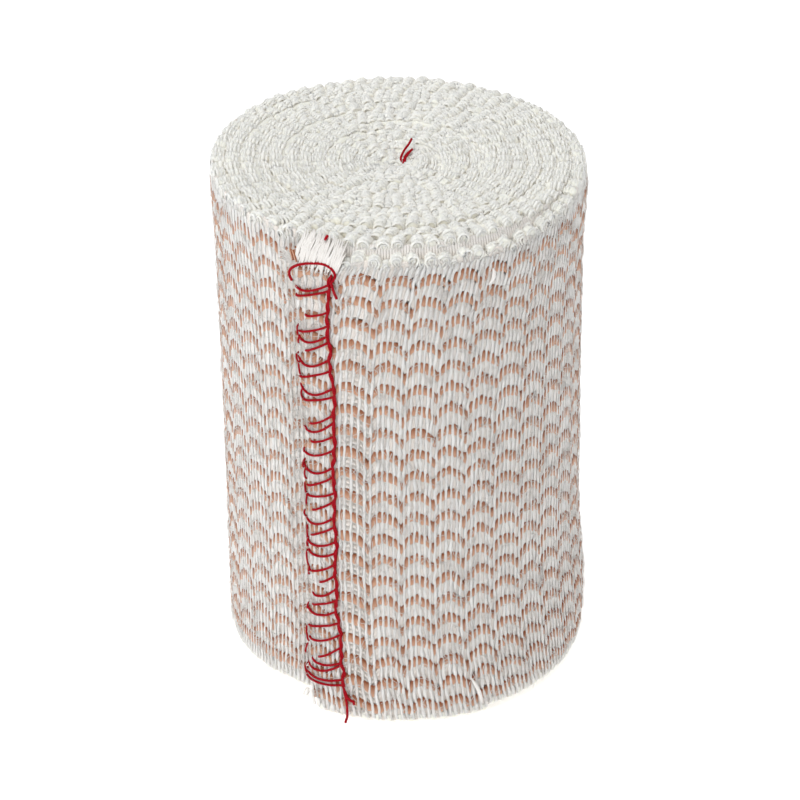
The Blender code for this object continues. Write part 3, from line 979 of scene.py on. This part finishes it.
red = thread_finish()
top_arc = smooth_line([on_seam(down, reach, TOP_ARC_OFF) for down, reach in TOP_ARC], 60)
tails = [smooth_line([on_seam(*point) for point in tail], 30) for tail in TAILS]
seam = add_yarns(
    "overlock_seam",
    [
        thread_batch([stitch_line(*stitch) for stitch in STITCHES], THREAD_RADIUS),
        thread_batch([needle_strand(side) for side in range(2)], THREAD_RADIUS),
        thread_batch([edge_line(*bit) for bit in EDGE_BITS], THREAD_RADIUS * 0.8, 6),
        thread_batch([top_arc], THREAD_RADIUS * 1.1),
        thread_batch(tails, THREAD_RADIUS * 1.15),
    ],
    red,
)

# ---------------------------------------------------------------------------------------------------------
# The fray. At the top of the cut the cotton has come loose: a fan of white strands stands up over the rim, a
# puff of fibres lies to the left, and an end of tan yarn shows. Fine fibres stand off the cloth all over.
# The fan, the puff and the yarn are placed like the seam, in millimetres.

FAN_STRANDS = 84
FAN_HALF_WIDTH = 0.00017
FAN_HALF_DEPTH = 0.00014
FAN_TAPER = (0.5, 0.8, 1, 1, 1, 0.95, 0.8, 0.5)  # from a strand's root to its tip
FAN_SIZES = (0.7, 1.1)  # a strand's size, as a share
FAN_ROOTS = (1.1, 7.3)  # from and to how far in from the cut
FAN_LEAN = (0.95, 0.25)  # how far in from its root a tip lies, and how uneven that is
FAN_LOW = (1.6, 3.4)  # how far below the upper edge the roots are
FAN_HIGH = (-2.7, -1.2)  # and the tips, in the fan's middle
FAN_SIDES = (0.25, 3)  # how much lower they are for each millimetre from it, and where it is
PUFF_FIBRES = 46
PUFF_RADIUS = 0.0001
PUFF_ROOT = (2.1, 0.35)  # how far below the upper edge its fibres start, and how uneven that is
PUFF_REACH = (0.6, 2.4)  # how far out over the cut they reach
# An end of tan yarn, in two strands, each as how far below the upper edge and how far in from the cut.
TAN_END = (((2.2, 1.6, 1.0, 0.6), (0.9, 0.8, 0.6, 0.5)), ((2.3, 1.8, 1.2, 0.7), (1.5, 1.3, 1.1, 0.9)))
TAN_END_OFF = 0.2
TAN_END_HALF = (0.00012, 0.00022)
# Two flecks of loose cotton: for each, points of (angle turned, millimetres below the upper edge and off).
FLECKS = (
    ((0.945, 3.4, 0.1), (0.955, 4.2, 0.3), (0.95, 5.0, 0.25), (0.94, 5.8, 0.1)),
    ((0.90, 68.0, 0.1), (0.92, 69.4, 0.4), (0.932, 70.8, 0.5), (0.936, 72.2, 0.3)),
)
FLECK_RADIUS = 0.0003
FIBRES = 5900
FIBRE_LENGTHS = (0.0008, 0.0026)
EDGE_FIBRES = 400  # those beside the cut
EDGE_LENGTHS = (0.0008, 0.0022)
EDGE_AT = (0.02, 0.035)  # where they are along the winding, and how far that strays
FIBRE_RADIUS = 0.000052
FIBRE_TIP = 0.6  # a tip's radius, as a share
FIBRE_TONES = (0.6, 1.0)
FIBRE_BOW = (0.00004, 0.00028)  # how far a fibre rises off the cloth
FIBRE_DEPTH = -0.00001  # where its ends lie, just off the cloth
FIBRE_HEADING = 0.75  # how far its heading strays from straight down, as an angle
FIBRE_BEND = 0.25  # how far it bends to one side, as a share of its length
FIBRE_MARGIN = 0.0004  # how far from the strip's edges it keeps
FRAY_UNEVEN = 0.08


def root_to_tip(root, tip, share):
    """A value along each strand, from the one at its root to the one at its tip."""
    return root[:, None] + (tip - root)[:, None] * share[None, :]


def fan_batch():
    """Flat strands that lean in from the cut and bend back over the rim."""
    taper = np.array(FAN_TAPER) * random.uniform(*FAN_SIZES, (FAN_STRANDS, 1))
    share = np.linspace(0, 1, len(FAN_TAPER))
    root = np.linspace(*FAN_ROOTS, FAN_STRANDS) + random.normal(0, 0.15, FAN_STRANDS)
    reach = root_to_tip(root, root + random.normal(*FAN_LEAN, FAN_STRANDS), share)
    low = random.uniform(*FAN_LOW, FAN_STRANDS)
    high = random.uniform(*FAN_HIGH, FAN_STRANDS) + FAN_SIDES[0] * np.abs(root - FAN_SIDES[1])
    down = root_to_tip(low, high, share)
    off = 0.05 - 1.05 * smooth_step((0.3 - down) / 1.3) + random.uniform(0, 0.1, (FAN_STRANDS, 1))
    lines = on_seam(down, reach + 0.08 * np.sin(5 * share + 7 * root[:, None]), off)
    tone = random.uniform(0.2, 1, FAN_STRANDS)
    return lines, section(HALF_ROUND, FAN_HALF_DEPTH * taper, FAN_HALF_WIDTH * taper), tone


def puff_lines():
    """Fibres that reach out to the left over the cut, in low bows."""
    share = np.linspace(0, 1, 6)
    low = random.normal(*PUFF_ROOT, PUFF_FIBRES)
    out = random.uniform(*PUFF_REACH, PUFF_FIBRES)
    reach = root_to_tip(np.full(PUFF_FIBRES, 0.7), 0.6 - out, share)
    down = root_to_tip(low, low + random.normal(0.1, 0.4, PUFF_FIBRES), share)
    off = 0.1 + random.uniform(0, 0.4, (PUFF_FIBRES, 1)) * np.sin(pi * share) - 0.35 * share
    return on_seam(down + 0.2 * np.sin(4 * share + out[:, None]), reach, off)


def fibre_lines(turned, down, long):
    """Single fibres: each rises off the cloth in a low bow and comes back to it."""
    share = np.linspace(0, 1, 4)
    count = len(turned)
    heading = random.normal(0, FIBRE_HEADING, (count, 1))
    bend = random.normal(0, FIBRE_BEND, (count, 1)) * np.sin(pi * share)
    across = down[:, None] + long[:, None] * (share * np.cos(heading) - bend * np.sin(heading))
    beside = long[:, None] * (share * np.sin(heading) + bend * np.cos(heading))
    bow = random.uniform(*FIBRE_BOW, (count, 1)) * np.sin(pi * share * random.uniform(0.5, 1, (count, 1)))
    across = across.clip(FIBRE_MARGIN, STRIP_WIDTH - FIBRE_MARGIN)
    return on_roll(turned[:, None] + beside / OUTER_RADIUS, across, FIBRE_DEPTH - bow)


def fibre_batch(lines, radius):
    taper = radius * np.linspace(1, FIBRE_TIP, lines.shape[1])
    return lines, section(round_profile(3), taper, taper), random.uniform(*FIBRE_TONES, len(lines))


def fleck_batch():
    lines = [[on_roll(turned, down / 1000, -off / 1000) for turned, down, off in fleck] for fleck in FLECKS]
    lines = np.stack([smooth_line(line, 9) for line in lines])
    radius = FLECK_RADIUS * np.sin(np.linspace(0.3, pi - 0.3, 9))
    return lines, section(round_profile(6), radius * 0.7, radius), np.ones(len(lines))


frayed = add_yarns(
    "frayed_cotton",
    [fan_batch(), fibre_batch(puff_lines(), PUFF_RADIUS), fleck_batch()],
    fine_cotton,
    rough=FRAY_UNEVEN,
)
tan_end_lines = np.stack([on_seam(down, reach, TAN_END_OFF) for down, reach in TAN_END])
tan_end = add_yarns(
    "frayed_elastic",
    [(tan_end_lines, section(round_profile(6), *TAN_END_HALF), np.ones(len(TAN_END)))],
    tan_rows.active_material,
)
all_over = fibre_lines(
    random.uniform(0.01, tau + 0.05, FIBRES),
    random.uniform(0.001, STRIP_WIDTH - 0.002, FIBRES),
    random.uniform(*FIBRE_LENGTHS, FIBRES),
)
beside_cut = fibre_lines(
    random.normal(*EDGE_AT, EDGE_FIBRES),
    random.uniform(0.001, STRIP_WIDTH - 0.003, EDGE_FIBRES),
    random.uniform(*EDGE_LENGTHS, EDGE_FIBRES),
)
fuzz = add_yarns(
    "loose_fibres",
    [fibre_batch(all_over, FIBRE_RADIUS), fibre_batch(beside_cut, FIBRE_RADIUS)],
    fine_cotton,
)

# ---------------------------------------------------------------------------------------------------------
# The inner end. The strip's other cut end, folded flat in the middle of the winding, has the same red seam:
# its thread ends stand out of the core.

CORE_SUNK = 0.0006  # how far below the innermost edge the threads' own zero lies
# Each thread's points, in millimetres right of, behind and above the core's middle.
CORE_THREADS = (
    (
        (1.4, -0.9, -2.0), (1.2, -0.4, -0.4), (0.9, 0.4, 0.6),
        (1.3, 1.6, 1.2), (2.0, 2.8, 1.7), (2.4, 3.8, 2.0),
    ),
    (
        (1.5, -0.9, -2.0), (1.3, -0.5, -0.2), (1.3, 0.3, 0.5),
        (1.6, 1.2, 0.8), (2.1, 1.9, 1.0), (2.3, 2.2, 1.0),
    ),
    (
        (1.6, -0.8, -2.0), (1.6, -0.3, -0.2), (1.5, 0.5, 0.6),
        (1.9, 1.4, 0.9), (2.3, 2.1, 1.1), (2.5, 2.4, 1.1),
    ),
)

core_middle = (AXIS_X - LEAN, AXIS_Y, crest(INNER_END) - CORE_SUNK)
core_lines = [smooth_line(np.array(thread) / 1000 + core_middle, 24) for thread in CORE_THREADS]
core_threads = add_yarns("core_threads", [thread_batch(core_lines, THREAD_RADIUS)], red)

# ---------------------------------------------------------------------------------------------------------
# The studio: a pale floor, a light from the upper left, a broad one from above, and the photograph's view.

FLOOR_COLOUR = (0.95, 0.95, 0.945)
FLOOR_LIGHT = (0.97, 0.97, 0.97)
FLOOR_GLOW = 0.4  # what keeps it as pale as the photograph's
VIEW_DISTANCE = 0.500
VIEW_ELEVATION = radians(31.29)
VIEW_TARGET = (-0.00018, 0.0, 0.0374)
LENS = 158.3  # millimetres
SENSOR_WIDTH = 36
ROOM_LIGHT = 0.51
# Each light, aimed at the roll: where it is, its size, power and colour.
LIGHTS = (
    ("key", (-0.8, -0.6, 0.7), 0.6, 4.2, (0.96, 0.985, 1.0)),
    ("top", (-0.05, -0.25, 1.25), 1.0, 6.1, (1.0, 0.995, 0.98)),
)

bpy.ops.mesh.primitive_plane_add(size=6)
floor = bpy.context.object
floor.name = "floor"
floor_finish = Finish("studio_floor", roughness=0.8, sheen=0.0)
floor_shade = floor_finish.noise(3.0, 2.0, floor_finish.place())
floor_finish.colour(floor_finish.mix(rgba(FLOOR_COLOUR), rgba(FLOOR_LIGHT), floor_shade))
floor_finish.shader.inputs["Emission Color"].default_value = (1, 1, 1, 1)
floor_finish.shader.inputs["Emission Strength"].default_value = FLOOR_GLOW
floor.data.materials.append(floor_finish.material)

camera_data = bpy.data.cameras.new("view")
camera_data.lens = LENS
camera_data.sensor_width = SENSOR_WIDTH
camera_data.clip_start = 0.01
camera = bpy.data.objects.new("view", camera_data)
bpy.context.scene.collection.objects.link(camera)
camera.location = (
    VIEW_TARGET[0],
    VIEW_TARGET[1] - VIEW_DISTANCE * cos(VIEW_ELEVATION),
    VIEW_TARGET[2] + VIEW_DISTANCE * sin(VIEW_ELEVATION),
)
camera.rotation_euler = (pi / 2 - VIEW_ELEVATION, 0, 0)
bpy.context.scene.camera = camera

for name, place, size, power, tint in LIGHTS:
    light = bpy.data.lights.new(name, "AREA")
    light.shape = "SQUARE"
    light.size = size
    light.energy = power
    light.color = tint
    lamp = bpy.data.objects.new(name, light)
    bpy.context.scene.collection.objects.link(lamp)
    lamp.location = place
    x, y, z = (target - own for target, own in zip(VIEW_TARGET, place))
    lamp.rotation_euler = (atan2(sqrt(x * x + y * y), -z), 0, atan2(y, x) - pi / 2)

world = bpy.data.worlds.new("soft_white_room")
world.use_nodes = True
world.node_tree.nodes["Background"].inputs["Color"].default_value = (1, 1, 1, 1)
world.node_tree.nodes["Background"].inputs["Strength"].default_value = ROOM_LIGHT
bpy.context.scene.world = world
bpy.context.scene.view_settings.view_transform = "Standard"
